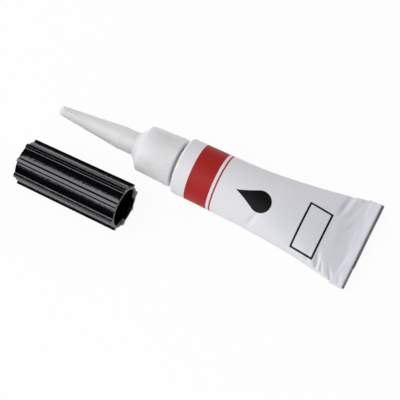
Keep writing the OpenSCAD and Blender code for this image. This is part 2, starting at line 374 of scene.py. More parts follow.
class Shader:
    """Builds one procedural material, or the world's shader."""

    def __init__(self, owner: Union[bpy.types.Material, bpy.types.World]) -> None:
        """Starts with the owner's node tree empty.

        Args:
            owner: the material or world.
        """
        self.owner = owner
        owner.use_nodes = True
        self.tree = owner.node_tree
        self.tree.nodes.clear()

    @classmethod
    def named(cls, name: str) -> "Shader":
        """Starts an empty material."""
        return cls(bpy.data.materials.new(name))

    def node(self, kind: str, settings: Optional[Mapping[str, object]] = None,
             inputs: Optional[Mapping[Union[int, str], object]] = None, out: Union[int, str] = 0) -> Link:
        """Adds any node.

        Args:
            kind: the node's type.
            settings: properties that are set before its sockets.
            inputs: values or links by socket name or number.
            out: name or number of the socket to return.

        Returns:
            Link to that output.
        """
        node = self.tree.nodes.new(kind)
        for key, value in (settings or {}).items():
            setattr(node, key, value)
        for key, value in (inputs or {}).items():
            if isinstance(value, Link):
                self.tree.links.new(value.socket, node.inputs[key])
            else:
                node.inputs[key].default_value = value
        return Link(self, node.outputs[out])

    def attribute(self, name: str) -> Link:
        """A number stored on the mesh."""
        return self.node("ShaderNodeAttribute", {"attribute_name": name}, out="Fac")

    def part(self, vector: Link, axis: str) -> Link:
        """One axis of a vector."""
        return self.node("ShaderNodeSeparateXYZ", {}, {0: vector}, out=axis)

    def where(self) -> Link:
        """Object coordinates."""
        return self.node("ShaderNodeTexCoord", out="Object")

    def stretched(self, scale: Triple) -> Link:
        """Object coordinates times a scale along each axis."""
        return self.node("ShaderNodeMapping", {}, {"Vector": self.where(), "Scale": scale})

    def noise(self, scale: float, detail: float, vector: Optional[Link] = None) -> Link:
        """Noise from 0 to 1.

        Args:
            scale: number of features in a metre.
            detail: octaves.
            vector: coordinates; Object coordinates if left out.

        Returns:
            Link to the noise.
        """
        inputs = {"Vector": vector or self.where(), "Scale": scale, "Detail": detail}
        return self.node("ShaderNodeTexNoise", {}, inputs)

    def mix(self, share: Value, first: object, second: object) -> Link:
        """Blends two colours.

        Args:
            share: share of the second colour.
            first: colour or link.
            second: colour or link.

        Returns:
            Link to the blend.
        """
        def full(colour: object) -> object:
            """Adds alpha to a plain colour."""
            return colour if isinstance(colour, Link) else full_colour(colour)

        # In the colour mode, sockets 6 and 7 take the two colours, and output 2 gives the blend.
        inputs = {0: share, 6: full(first), 7: full(second)}
        return self.node("ShaderNodeMix", {"data_type": "RGBA", "clamp_factor": True}, inputs, out=2)

    def bump(self, height: Link, depth_mm: float, strength: float) -> Link:
        """Normal from a height in shares of a depth."""
        inputs = {"Height": height, "Distance": depth_mm * MM, "Strength": strength}
        return self.node("ShaderNodeBump", {}, inputs, out="Normal")

    def glow(self, colour: object) -> Link:
        """An even light of a colour with alpha, or of a link."""
        return self.node("ShaderNodeEmission", {}, {"Color": colour, "Strength": 1.0})

    def finish(self, inputs: Mapping[str, object]) -> bpy.types.Material:
        """Ends the material in one Principled surface.

        Args:
            inputs: values or links of the surface's sockets.

        Returns:
            The material.
        """
        self.close(self.node("ShaderNodeBsdfPrincipled", {}, inputs))
        return self.owner

    def close(self, surface: Link) -> None:
        """Links a surface to the output of the material or world.

        Args:
            surface: the surface, or the world's background.
        """
        kind = "World" if isinstance(self.owner, bpy.types.World) else "Material"
        out = self.tree.nodes.new("ShaderNodeOutput" + kind)
        self.tree.links.new(surface.socket, out.inputs["Surface"])

    def seen(self, mirrored: float = 1.0) -> Link:
        """1 for what the camera shows, and 0 for light that falls on a surface.

        Args:
            mirrored: value for what a reflection or a clear body shows.

        Returns:
            Link to the value.
        """
        share = self.node("ShaderNodeLightPath", out="Is Camera Ray")
        for kind in ("Is Glossy Ray", "Is Transmission Ray"):
            share = share.most(self.node("ShaderNodeLightPath", out=kind) * mirrored)
        return share


@dataclass(frozen=True)
class LacquerFinish:
    """White baked lacquer on soft aluminium, with a plain printed band, a drop and an empty batch frame."""

    white: Colour = (0.81, 0.81, 0.835)
    # The shade colour is a bluish grey, mixed in by a random tone and by painted shade that grows along the
    # tube towards the fold.
    shade: Colour = (0.75, 0.753, 0.825)
    red: Colour = (0.42, 0.010, 0.008)
    black: Colour = (0.004, 0.004, 0.005)
    # Metal colour and zone at the fold's end: partly the real worn edge of the lacquer, partly painted shade
    # of the shadowed end.
    metal: Colour = (0.30, 0.30, 0.31)
    worn_edge_and_painted_shade_from: float = 39.95
    worn_edge_and_painted_shade_width: float = 0.72
    worn_edge_and_painted_shade_ragged: float = 0.12
    # Painted shade rises between these distances from the shoulder and takes this share of the mix; the rest
    # is random tone.
    painted_shade_at: Pair = (4.0, 36.0)
    painted_shade_share: float = 0.6
    edge: float = 0.05
    band: Pair = (3.4, 8.4)
    line: Pair = (9.0, 9.35)
    drop_at: float = 18.6
    drop_radius: float = 2.3
    drop_length: float = 5.6
    drop_power: float = 1.25
    frame_middle: float = 30.0
    frame_half: Pair = (2.6, 5.2)
    frame_line: float = 0.42

    def stripe(self, along: Link, limits: Pair) -> Link:
        """1 between two distances from the shoulder and 0 outside them."""
        low, high = limits
        return along.rise(low - self.edge, low + self.edge) - along.rise(high - self.edge, high + self.edge)

    def drop(self, along: Link, side: Link) -> Link:
        """1 inside a drop: a disc, and a tail that starts where lines from its point touch the disc.

        The tail narrows from that width to the point as a power of the distance left.

        Args:
            along: distance from the shoulder.
            side: distance round the wall from the print's middle line.

        Returns:
            Link to the mask.
        """
        touch = self.drop_radius ** 2 / self.drop_length
        width = math.sqrt(self.drop_radius ** 2 - touch ** 2)
        x = self.drop_at - along
        disc = self.drop_radius - (x * x + side * side) ** 0.5
        left = ((self.drop_length - x) / (self.drop_length - touch)).most(0.0)
        tail = (left ** self.drop_power * width - side).least(x - touch)
        return disc.most(tail).rise(-self.edge, self.edge)

    def panel(self, along: Link, side: Link, half: Pair) -> Link:
        """1 inside a rectangle of half sizes round the batch frame's middle."""
        inside = (half[0] - abs(along - self.frame_middle)).least(half[1] - side)
        return inside.rise(-self.edge, self.edge)

    def material(self) -> bpy.types.Material:
        """Builds the material from the print's masks, fine tone, painted shade that grows towards the fold,
        and metal at the fold's end that is partly a worn edge and partly painted shade.

        Returns:
            The material.
        """
        s = Shader.named("tube_lacquer")
        along = s.attribute("along")
        side = s.attribute("side")
        tone = s.noise(scale=90.0, detail=3.0)
        fine = s.noise(scale=2600.0, detail=2.0)
        # Painted shade: the shade colour grows along the tube towards the fold, over a random tone.
        tone_and_painted_shade_mask = tone.rise(0.3, 0.8) * (1 - self.painted_shade_share) + along.rise(*self.painted_shade_at) * self.painted_shade_share
        ground = s.mix(tone_and_painted_shade_mask, self.white, self.shade)
        red = self.stripe(along, self.band).most(self.stripe(along, self.line))
        inner = (self.frame_half[0] - self.frame_line, self.frame_half[1] - self.frame_line)
        box = self.panel(along, side, self.frame_half) - self.panel(along, side, inner)
        black = box.most(self.drop(along, side))
        inked = s.mix(black, s.mix(red, ground, self.red), self.black)
        # Metal at the fold's end: partly the real worn edge of the lacquer, partly painted shade that darkens
        # the shadowed end.
        worn_edge_and_painted_shade = (along + fine * self.worn_edge_and_painted_shade_ragged).rise(self.worn_edge_and_painted_shade_from, self.worn_edge_and_painted_shade_from + self.worn_edge_and_painted_shade_width)
        return s.finish({
            "Base Color": s.mix(worn_edge_and_painted_shade, inked, self.metal),
            "Metallic": worn_edge_and_painted_shade,
            "Roughness": 0.40 + tone * 0.12 + fine * 0.06,
            "Specular IOR Level": 0.3,
            "Normal": s.bump(fine, depth_mm=0.006, strength=0.5),
        })


@dataclass(frozen=True)
class NozzleFinish:
    """Natural milky polyethylene with a fine moulded grain."""

    body: Colour = (0.78, 0.778, 0.80)
    haze: Colour = (0.76, 0.758, 0.775)
    scatter_mm: float = 3.5
    scatter_share: float = 1.0

    def material(self) -> bpy.types.Material:
        """Builds a plastic that light passes into, with faint flow lines along the spout.

        Returns:
            The material.
        """
        s = Shader.named("nozzle_polyethylene")
        flow = s.noise(scale=1.0, detail=3.0, vector=s.stretched((160.0, 900.0, 900.0)))
        grain = s.noise(scale=5200.0, detail=2.0)
        return s.finish({
            "Base Color": s.mix(flow.rise(0.35, 0.7), self.body, self.haze),
            "Roughness": 0.30 + grain * 0.14,
            "IOR": 1.51,
            "Subsurface Weight": self.scatter_share,
            "Subsurface Radius": (1.0, 1.0, 1.0),
            "Subsurface Scale": self.scatter_mm * MM,
            "Normal": s.bump(grain, depth_mm=0.008, strength=0.5),
        })


@dataclass(frozen=True)
class CapFinish:
    """Glossy black polypropylene with fine drawn grain along the cap."""

    black: Colour = (0.0010, 0.0010, 0.0020)
    dusty: Colour = (0.004, 0.004, 0.0050)
    gloss: Colour = (0.95, 0.95, 1.0)

    def material(self) -> bpy.types.Material:
        """Builds a black plastic whose gloss varies with drawn lines and a fine grain.

        Returns:
            The material.
        """
        s = Shader.named("cap_polypropylene")
        lines = s.noise(scale=1.0, detail=3.0, vector=s.stretched((220.0, 2600.0, 2600.0)))
        grain = s.noise(scale=4200.0, detail=3.0)
        ripple = s.noise(scale=1500.0, detail=2.0)
        return s.finish({
            "Base Color": s.mix(grain.rise(0.5, 0.8), self.black, self.dusty),
            "Roughness": 0.10 + lines * 0.07 + grain * 0.04,
            "IOR": 1.65,
            "Specular IOR Level": 1.0,
            "Specular Tint": full_colour(self.gloss),
            "Normal": s.bump(grain * 0.3 + lines * 0.2 + ripple * 0.5, depth_mm=0.05, strength=1.0),
        })


@dataclass(frozen=True)
class GlueFinish:
    """Clear thin liquid."""

    clear: Colour = (0.93, 0.95, 0.96)
    cloud: Colour = (0.86, 0.89, 0.92)

    def material(self) -> bpy.types.Material:
        """Builds a clear liquid with faint clouds.

        Returns:
            The material.
        """
        s = Shader.named("glue_liquid")
        clouds = s.noise(scale=180.0, detail=2.0)
        return s.finish({
            "Base Color": s.mix(clouds, self.clear, self.cloud),
            "Roughness": 0.03 + clouds * 0.04,
            "IOR": 1.45,
            "Transmission Weight": 0.9,
        })


@dataclass(frozen=True)
class SealFinish:
    """Dried latex band."""

    latex: Colour = (0.62, 0.52, 0.34)
    dry: Colour = (0.48, 0.39, 0.24)

    def material(self) -> bpy.types.Material:
        """Builds a matte rubber with blotches.

        Returns:
            The material.
        """
        s = Shader.named("seal_latex")
        blotch = s.noise(scale=700.0, detail=3.0)
        return s.finish({
            "Base Color": s.mix(blotch.rise(0.3, 0.7), self.latex, self.dry),
            "Roughness": 0.6 + blotch * 0.2,
            "Normal": s.bump(blotch, depth_mm=0.02, strength=0.5),
        })


def dress(piece: bpy.types.Object, material: bpy.types.Material) -> None:
    """Gives a new piece its one material."""
    piece.data.materials.append(material)


def dress_node(node: str, material: bpy.types.Material) -> None:
    """Gives a carried-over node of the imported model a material.

    Args:
        node: name of the node.
        material: its material.
    """
    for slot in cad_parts[node].material_slots:
        slot.material = material
    log.info("%s: carried over", node)


@dataclass(frozen=True)
class Dent:
    """A dent or ridge in the soft wall: a bell along and across its own line."""

    along: float
    angle: float
    length: float
    width: float
    height: float
    tilt: float

    def shape(self, along: Array, side: Array, angles: Array) -> Array:
        """Height of the dent at each point of the wall.

        Args:
            along: distances from the shoulder, per ring and point.
            side: distances round the wall from the top line, per ring and point.
            angles: angle of each point of a ring.

        Returns:
            Outward heights in millimetres.
        """
        ring = int(np.abs(along[:, 0] - self.along).argmin())
        point = int(np.abs(angles - math.radians(self.angle)).argmin())
        t = math.radians(self.tilt)
        dx = along - self.along
        dy = side - side[ring, point]
        line = (dx * math.cos(t) + dy * math.sin(t)) / self.length
        across = (dy * math.cos(t) - dx * math.sin(t)) / self.width
        shape = bell(line) * bell(across)
        return self.height * shape


@dataclass(frozen=True)
class Sway:
    """A sine across the fold: size sin(rate y + shift)."""

    size: float
    rate: float
    shift: float = 0.0

    def at(self, y: Array) -> Array:
        """Value at each y."""
        return self.size * np.sin(self.rate * y + self.shift)


@dataclass(frozen=True)
class Fold:
    """Sizes of the folded end, in millimetres from the end of the wall."""

    length: float = 3.53
    half: float = 0.45
    start: float = 0.06
    proud: float = 0.34
    proud_by: float = 0.3
    roll: float = 0.8
    roll_least: float = 0.01
    roll_narrow: float = 0.12
    pinch: float = 0.04
    pinch_at: float = 0.6
    pinch_width: float = 0.5
    pinch_sway: Sway = Sway(-0.03, 0.55)
    swell: float = 0.12
    swell_from: float = 1.6
    swell_sway: Sway = Sway(0.25, 0.45, 0.4)
    root_power: float = 0.4
    power_drop: float = 0.28
    wave: Sway = Sway(0.05, 0.9, 0.7)
    wave_rate: float = 1.5
    wave_at: Pair = (0.3, 1.2)
    kink: float = 0.12
    kink_at: Pair = (-5.1, -4.7)
    bow: float = 0.04
    bow_at: float = 2.0
    bow_width: float = 3.0
    set_back_from: float = 1.0
    flat_rows: int = 26
    roll_rows: int = 16


@dataclass
class Tube:
    """The collapsible metal tube: threaded neck, shoulder, wall that flattens, and the folded end."""

    radius: float = 5.989
    length: float = 37.2
    wall: float = 0.15
    shoulder: float = 0.7
    corner: float = 0.8
    early_flat: float = 0.35
    late_power: float = 3.5
    rest_from: float = 8.0
    rest_to: float = 20.0
    fold: Fold = Fold()
    fold_ease: float = 0.14
    ease_at: Pair = (0.6, 0.9)
    square_early: float = 0.22
    square_early_at: Pair = (0.4, 0.75)
    square_late: float = 0.38
    square_late_at: Pair = (0.7, 1.0)
    neck_length: float = 6.0
    neck_radius: float = 3.05
    neck_bore: float = 2.2
    hole_radius: float = 1.75
    membrane: float = 0.2
    mouth_edge: float = 0.15
    mouth_depth: float = 0.4
    root_height: float = 0.28
    root_fillet: float = 0.22
    thread: Thread = Thread(start=1.425, turns=2.567)
    thread_margins: Pair = (0.3, 0.45)
    thread_rows: int = 96
    around: int = 216
    corner_rows: int = 8
    outside_rows: int = 190
    inside_rows: int = 60
    crowding: float = 1.6
    print_angle: float = 106.0
    unprinted: Pair = (-9.0, 20.0)
    glue_level: float = 7.7
    glue_room: float = 0.06
    glue_end: float = 0.7
    glue_neck: float = 1.2
    lacquer: LacquerFinish = LacquerFinish()
    seal: SealFinish = SealFinish()
    dents: Tuple[Dent, ...] = (
        Dent(along=16.0, angle=12, length=11.0, width=6.0, height=-0.36, tilt=0),
        Dent(along=18.4, angle=146, length=1.7, width=0.55, height=-0.36, tilt=69),
        Dent(along=12.0, angle=125, length=3.2, width=2.4, height=-0.07, tilt=40),
        Dent(along=25.0, angle=100, length=4.0, width=2.2, height=-0.08, tilt=75),
        Dent(along=27.5, angle=148, length=3.0, width=1.8, height=-0.09, tilt=110),
        Dent(along=33.9, angle=42, length=2.2, width=0.5, height=-0.6, tilt=80),
        Dent(along=35.2, angle=30, length=1.4, width=0.4, height=0.16, tilt=84),
        Dent(along=36.6, angle=74, length=1.3, width=0.35, height=-0.12, tilt=62),
        Dent(along=34.6, angle=96, length=2.4, width=0.7, height=0.10, tilt=96),
        Dent(along=36.1, angle=16, length=0.8, width=0.4, height=0.2, tilt=80),
        Dent(along=35.8, angle=55, length=1.8, width=0.5, height=-0.16, tilt=70),
        Dent(along=33.6, angle=148, length=1.7, width=0.45, height=-0.55, tilt=105),
        Dent(along=31.6, angle=152, length=1.4, width=0.6, height=-0.18, tilt=100),
        Dent(along=34.85, angle=154, length=1.1, width=0.28, height=-0.30, tilt=112),
        Dent(along=36.9, angle=153, length=1.3, width=0.3, height=-0.22, tilt=122),
        Dent(along=39.0, angle=152, length=1.0, width=0.35, height=-0.16, tilt=110),
        Dent(along=38.2, angle=118, length=2.6, width=0.45, height=-0.16, tilt=86),
    )

    @property
    def angles(self) -> Array:
        """Angles of the points of a ring: 0 at +y and a quarter turn at the top."""
        return midpoint_angles(self.around)

    def flatness(self, s: Array) -> Array:
        """Share of the flattening at s: an even part and a part that sets in late with a power of s."""
        u = np.clip(s / self.length, 0, 1)
        return self.early_flat * u + (1 - self.early_flat) * u ** self.late_power

    def half_height(self, s: Array) -> Array:
        """Half height of the wall at s, which runs into the fold along a soft bend.

        The height h over the fold is eased to (h + sqrt(h^2 + 4 e^2)) / 2, and falls on evenly past
        the wall's end.

        Args:
            s: distances from the shoulder.

        Returns:
            Half heights in millimetres.
        """
        slope = (self.early_flat + (1 - self.early_flat) * self.late_power) / self.length
        left = 1 - self.flatness(s) - slope * np.clip(s - self.length, 0, None)
        over = (self.radius - self.fold.half) * left
        ease = self.fold_ease * smooth_step(*self.ease_at, s / self.length)
        return self.fold.half + (over + np.sqrt(over ** 2 + 4 * ease ** 2)) / 2

    def half_width(self, s: Array) -> Array:
        """Half width of the wall at s, which grows to half the flattened girth."""
        return self.radius + (math.pi / 2 - 1) * self.radius * self.flatness(s)

    def under(self, s: Array) -> Array:
        """Depth of the underside at s, straight along the stretch that the belly lies on.

        Args:
            s: distances from the shoulder.

        Returns:
            Depths under the axis in millimetres.
        """
        ends = np.array([self.rest_from, self.rest_to])
        chord = np.interp(s, ends, self.half_height(ends))
        return np.where((s > self.rest_from) & (s < self.rest_to), chord, self.half_height(s))

    def round_rings(self, s: Array, radius: Array) -> Array:
        """Rings about the tube's axis, given by a row of distances and a row of radii."""
        return turned(s[:, None], radius[:, None], self.angles)

    def section(self, s: Array, inset: float) -> Array:
        """Rings (s, w cos a, h |sin a|^e) of the wall, drawn in by an inset.

        The power e is 1 for the round end and falls towards the fold, where the top and underside get flat.

        Args:
            s: distances from the shoulder.
            inset: how far the wall is drawn in.

        Returns:
            Points per ring and point.
        """
        a = self.angles
        u = s / self.length
        early = self.square_early * smooth_step(*self.square_early_at, u)
        late = self.square_late * smooth_step(*self.square_late_at, u)
        depth = np.where(np.sin(a) > 0, self.half_height(s)[:, None], self.under(s)[:, None]) - inset
        width = self.half_width(s) - inset
        x = np.broadcast_to(s[:, None], (len(s), self.around))
        return np.stack([x, width[:, None] * np.cos(a), depth * blunt_sine(a, 1 - early - late)], axis=-1)

    def girth(self, rings: Array, angle: float) -> Array:
        """Signed distance round each ring from the point at an angle, positive towards +y.

        It is the sum of the legs up to the angle less the sum up to the point, wrapped to half a girth.

        Args:
            rings: points per ring and point.
            angle: angle of the zero point, in degrees.

        Returns:
            Distances per ring and point.
        """
        legs = np.linalg.norm(np.roll(rings, -1, axis=1) - rings, axis=2)
        total = legs.sum(axis=1, keepdims=True)
        run = np.concatenate([np.zeros_like(total), np.cumsum(legs, axis=1)[:, :-1]], axis=1)
        zero = np.array([np.interp(math.radians(angle), self.angles, row) for row in run])[:, None]
        return (zero - run + total / 2) % total - total / 2

    def dented(self, rings: Array) -> Array:
        """The wall moved along its normal by the sum of its dents.

        The normal is that of the ellipse with the ring's half width and half height.

        Args:
            rings: points of the smooth wall.

        Returns:
            The moved points.
        """
        side = self.girth(rings, math.degrees(QUARTER))
        heights = sum(d.shape(rings[..., 0], side, self.angles) for d in self.dents)
        width = np.abs(rings[..., 1]).max(axis=1, keepdims=True)
        depth = np.abs(rings[..., 2]).max(axis=1, keepdims=True)
        across = rings[..., 1] / width ** 2
        normal = np.stack([np.zeros_like(heights), across, rings[..., 2] / depth ** 2], axis=-1)
        normal /= np.linalg.norm(normal, axis=2, keepdims=True)
        return rings + normal * heights[..., None]

    def wall_stations(self, first: float, last: float, count: int) -> Array:
        """Distances from first to last, closer together towards the fold as a power of what is left."""
        left = 1 - np.linspace(0, 1, count)
        return first + (last - first) * (1 - left ** self.crowding)

    def fold_rings(self) -> Array:
        """Rings of the folded end: pinched at its root, swelling to a rolled edge, with a wave sideways.

        The half height is a pinch that sways sideways, a swell to the roll, and a quarter of an ellipse at
        the end. The end line is set back on one side of a small kink, and along a slight bow.

        Returns:
            Points per ring and point.
        """
        f = self.fold
        a = self.angles
        bend = f.length - f.roll
        rolled = bend + f.roll * np.sin(np.linspace(0, QUARTER, f.roll_rows + 1)[1:])
        flat = np.concatenate([np.linspace(f.start, bend, f.flat_rows), rolled])
        end = np.sqrt(np.clip(1 - (np.clip(flat - bend, 0, None) / f.roll) ** 2, f.roll_least, 1))
        width = self.half_width(np.array([self.length])) + f.proud * smooth_step(f.start, f.proud_by, flat)
        y = (width - f.roll_narrow * (1 - end))[:, None] * np.cos(a)
        across = flat[:, None]
        pinch = (f.pinch + f.pinch_sway.at(y)) * bell((across - f.pinch_at) / f.pinch_width)
        swell = f.swell * smooth_step(f.swell_from, bend, across) * (1 + f.swell_sway.at(y))
        half = (self.half_height(self.length + flat)[:, None] - pinch + swell) * end[:, None]
        power = f.root_power - f.power_drop * smooth_step(0.0, bend, flat)
        wave = f.wave.at(y) * np.sin(across * f.wave_rate) * smooth_step(*f.wave_at, across)
        kink = -f.kink * (1 - smooth_step(*f.kink_at, y)) - f.bow * bell((y - f.bow_at) / f.bow_width)
        x = self.length + across + kink * smooth_step(f.set_back_from, f.length, across)
        return np.stack([x, y, half * blunt_sine(a, power) + wave], axis=-1)

    def neck_rings(self) -> Array:
        """Rings of the neck, from the hole in the membrane over its mouth and thread to the shoulder.

        Returns:
            Points per ring and point.
        """
        top = -self.neck_length
        mouth = rounded_path([
            (top, self.hole_radius, 0.0),
            (top, self.neck_radius, self.mouth_edge),
            (top + self.mouth_depth, self.neck_radius, 0.0),
        ], step=0.3)
        low, high = self.thread_margins
        z = np.linspace(self.neck_length - high, low, self.thread_rows)[:, None]
        radius = self.neck_radius + self.thread.ridge(z, (QUARTER - self.angles) % TURN)
        root = rounded_path([
            (-self.root_height, self.neck_radius, 0.0),
            (0.0, self.neck_radius, self.root_fillet),
            (0.0, self.radius - self.corner, 0.0),
        ], step=0.5)
        plain = [self.round_rings(path[:, 0], path[:, 1]) for path in (mouth, root)]
        return np.concatenate([plain[0], turned(-z, radius, self.angles), plain[1]])

    def inside_rings(self) -> Array:
        """Rings of the inside, from its end at the fold to the hole in the membrane.

        Returns:
            Points per ring and point.
        """
        s = self.wall_stations(self.shoulder, self.length, self.inside_rows)[::-1]
        wall = self.dented(self.section(s, self.wall))
        end = self.membrane - self.neck_length
        bore = [self.shoulder, self.shoulder - SEAM_MM, end + SEAM_MM, end, end, -self.neck_length]
        radius = np.array([self.neck_bore] * 4 + [self.hole_radius] * 2)
        return np.concatenate([wall, self.round_rings(np.array(bore), radius)])

    def build(self) -> None:
        """Builds the shell as one surface from the inside's end over the neck to the fold's end."""
        hidden = np.concatenate([self.inside_rings(), self.neck_rings()])
        turn = np.linspace(0, QUARTER, self.corner_rows + 1)[:-1]
        s_corner = self.corner * (1 - np.cos(turn))
        corner = self.round_rings(s_corner, self.radius - self.corner * (1 - np.sin(turn)))
        wall = self.section(self.wall_stations(self.corner, self.length, self.outside_rows), 0.0)
        outside = np.concatenate([corner, self.dented(np.concatenate([wall, self.fold_rings()]))])
        rings = np.concatenate([hidden, outside])
        printed = (outside[..., 0], np.abs(self.girth(outside, self.print_angle)))
        along, side = (np.concatenate([np.full(hidden.shape[:2], far), values])
                       for far, values in zip(self.unprinted, printed))
        surface = RingSurface(TUBE_PLACE.place(rings), End.BRIDGE, End.BRIDGE)
        piece = surface.make("tube_wall", {"along": along, "side": side})
        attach(piece, "tube")
        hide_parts("tube_shell")
        dress(piece, self.lacquer.material())

    def dress_seal(self) -> None:
        """Gives the sealing band in the fold its latex."""
        dress_node("end_seal", self.seal.material())

    def build_glue(self, glue: bpy.types.Material) -> None:
        """Builds the glue: the inside drawn in by a small room and cut level by holding z at the surface.

        Args:
            glue: the liquid's material.
        """
        inset = self.wall + self.glue_room
        ends = (self.shoulder + self.glue_room, self.length - self.glue_end)
        s = self.wall_stations(*ends, self.inside_rows)[::-1]
        wall = self.dented(self.section(s, inset))
        low = self.glue_neck - self.neck_length
        bore = self.neck_bore - self.glue_room
        neck = self.round_rings(np.array([self.shoulder, 0.0, low]), np.array([bore, bore, bore]))
        points = TUBE_PLACE.place(np.concatenate([wall, neck]))
        points[..., 2] = np.minimum(points[..., 2], self.glue_level)
        piece = RingSurface(points, End.BRIDGE, End.POLE).make("glue_pool")
        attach(piece, "tube")
        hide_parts("glue_fill")
        dress(piece, glue)


@dataclass
class Nozzle:
    """The screw-on nozzle: finely knurled collar, flare, straight neck and cone with a rounded tip."""

    gap: float = 0.75
    collar_front: float = 8.55
    collar_rear_radius: float = 5.25
    collar_front_radius: float = 4.9
    face_front: float = 9.35
    face_radius: float = 3.65
    spout_start: float = 10.55
    cone_start: float = 14.05
    spout_radius: float = 2.425
    tip: float = 28.45
    tip_radius: float = 0.975
    outlet_radius: float = 0.45
    outlet_start: float = 25.45
    socket_radius: float = 3.6
    socket_floor: float = 6.05
    sleeve_radius: float = 1.6
    sleeve_bore: float = 1.2
    sleeve_end: float = 4.85
    teeth: int = 60
    tooth_depth: float = 0.075
    knurl_in: Pair = (0.2, 0.6)
    knurl_out: Pair = (1.0, 4.6)
    rear_edge: float = 0.35
    soft_edge: float = 0.5
    face_edge: float = 0.6
    fine_edge: float = 0.05
    sleeve_fillet: float = 0.1
    parting: float = 0.05
    parting_width: float = 0.15
    parting_ramp: float = 0.1
    cone_inset: float = 0.02
    thread: Thread = Thread(start=2.175, turns=2.1)
    thread_margin: float = 0.02
    thread_rows: int = 84
    around: int = 360
    plastic: NozzleFinish = NozzleFinish()

    def outside(self) -> Array:
        """Profile (height, radius) of the outside, from the collar's rear edge to the outlet.

        Returns:
            Heights above the shoulder, and radii.
        """
        line_start = self.cone_start - self.parting_width
        line_radius = self.spout_radius + self.parting
        return rounded_path([
            (self.gap, self.socket_radius, 0.0),
            (self.gap, self.collar_rear_radius, self.rear_edge),
            (self.collar_front, self.collar_front_radius, self.soft_edge),
            (self.face_front, self.face_radius, self.face_edge),
            (self.spout_start, self.spout_radius, self.soft_edge),
            (line_start - self.parting_ramp, self.spout_radius, self.fine_edge),
            (line_start, line_radius, self.fine_edge),
            (self.cone_start, line_radius, self.fine_edge),
            (self.cone_start + self.parting_ramp, self.spout_radius - self.cone_inset, self.fine_edge),
            (self.tip, self.tip_radius, self.soft_edge),
            (self.tip, self.outlet_radius, 0.0),
        ], step=0.35, arc=8)

    def inside(self) -> Array:
        """Profile (height, radius) of the inside, from the outlet to the socket's floor.

        Returns:
            Heights above the shoulder, and radii.
        """
        return rounded_path([
            (self.tip, self.outlet_radius, 0.0),
            (self.outlet_start, self.outlet_radius, 0.0),
            (self.sleeve_end, self.sleeve_bore, 0.0),
            (self.sleeve_end, self.sleeve_radius, self.fine_edge),
            (self.socket_floor, self.sleeve_radius, self.sleeve_fillet),
            (self.socket_floor, self.socket_radius, 0.0),
        ], step=1.2, arc=3)[1:]

    def rings(self) -> Array:
        """Rings of the whole moulding, with knurl teeth on the collar and a thread in the socket.

        The teeth draw the radius in by depth (1 - cos(n a)) / 2. They start near the collar's rear edge and
        run out towards its middle.

        Returns:
            Points per ring and point.
        """
        a = midpoint_angles(self.around)
        outside = self.outside()
        z, radius = outside[:, :1], outside[:, 1:]
        from_edge = z - self.gap
        knurled = smooth_step(*self.knurl_in, from_edge) * (1 - smooth_step(*self.knurl_out, from_edge))
        teeth = self.tooth_depth * (1 - np.cos(self.teeth * a)) / 2 * knurled
        inside = self.inside()
        plain = np.broadcast_to(inside[:, 1:], (len(inside), self.around))
        ends = (self.socket_floor - self.thread_margin, self.gap + self.thread_margin)
        z_socket = np.linspace(*ends, self.thread_rows)[:, None]
        socket = self.socket_radius - self.thread.ridge(z_socket, (QUARTER - a) % TURN)
        heights = np.concatenate([z, inside[:, :1], z_socket])
        return turned(-heights, np.concatenate([radius - teeth, plain, socket]), a)

    def build(self) -> None:
        """Builds the moulding as a closed ring of rings."""
        points = TUBE_PLACE.place(self.rings())
        piece = RingSurface(points, End.LOOP, End.LOOP).make("nozzle_moulding")
        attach(piece, "nozzle")
        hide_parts("nozzle")
        dress(piece, self.plastic.material())

    def dress_glue(self, glue: bpy.types.Material) -> None:
        """Gives the glue that stands in the channel its material."""
        dress_node("nozzle_glue", glue)


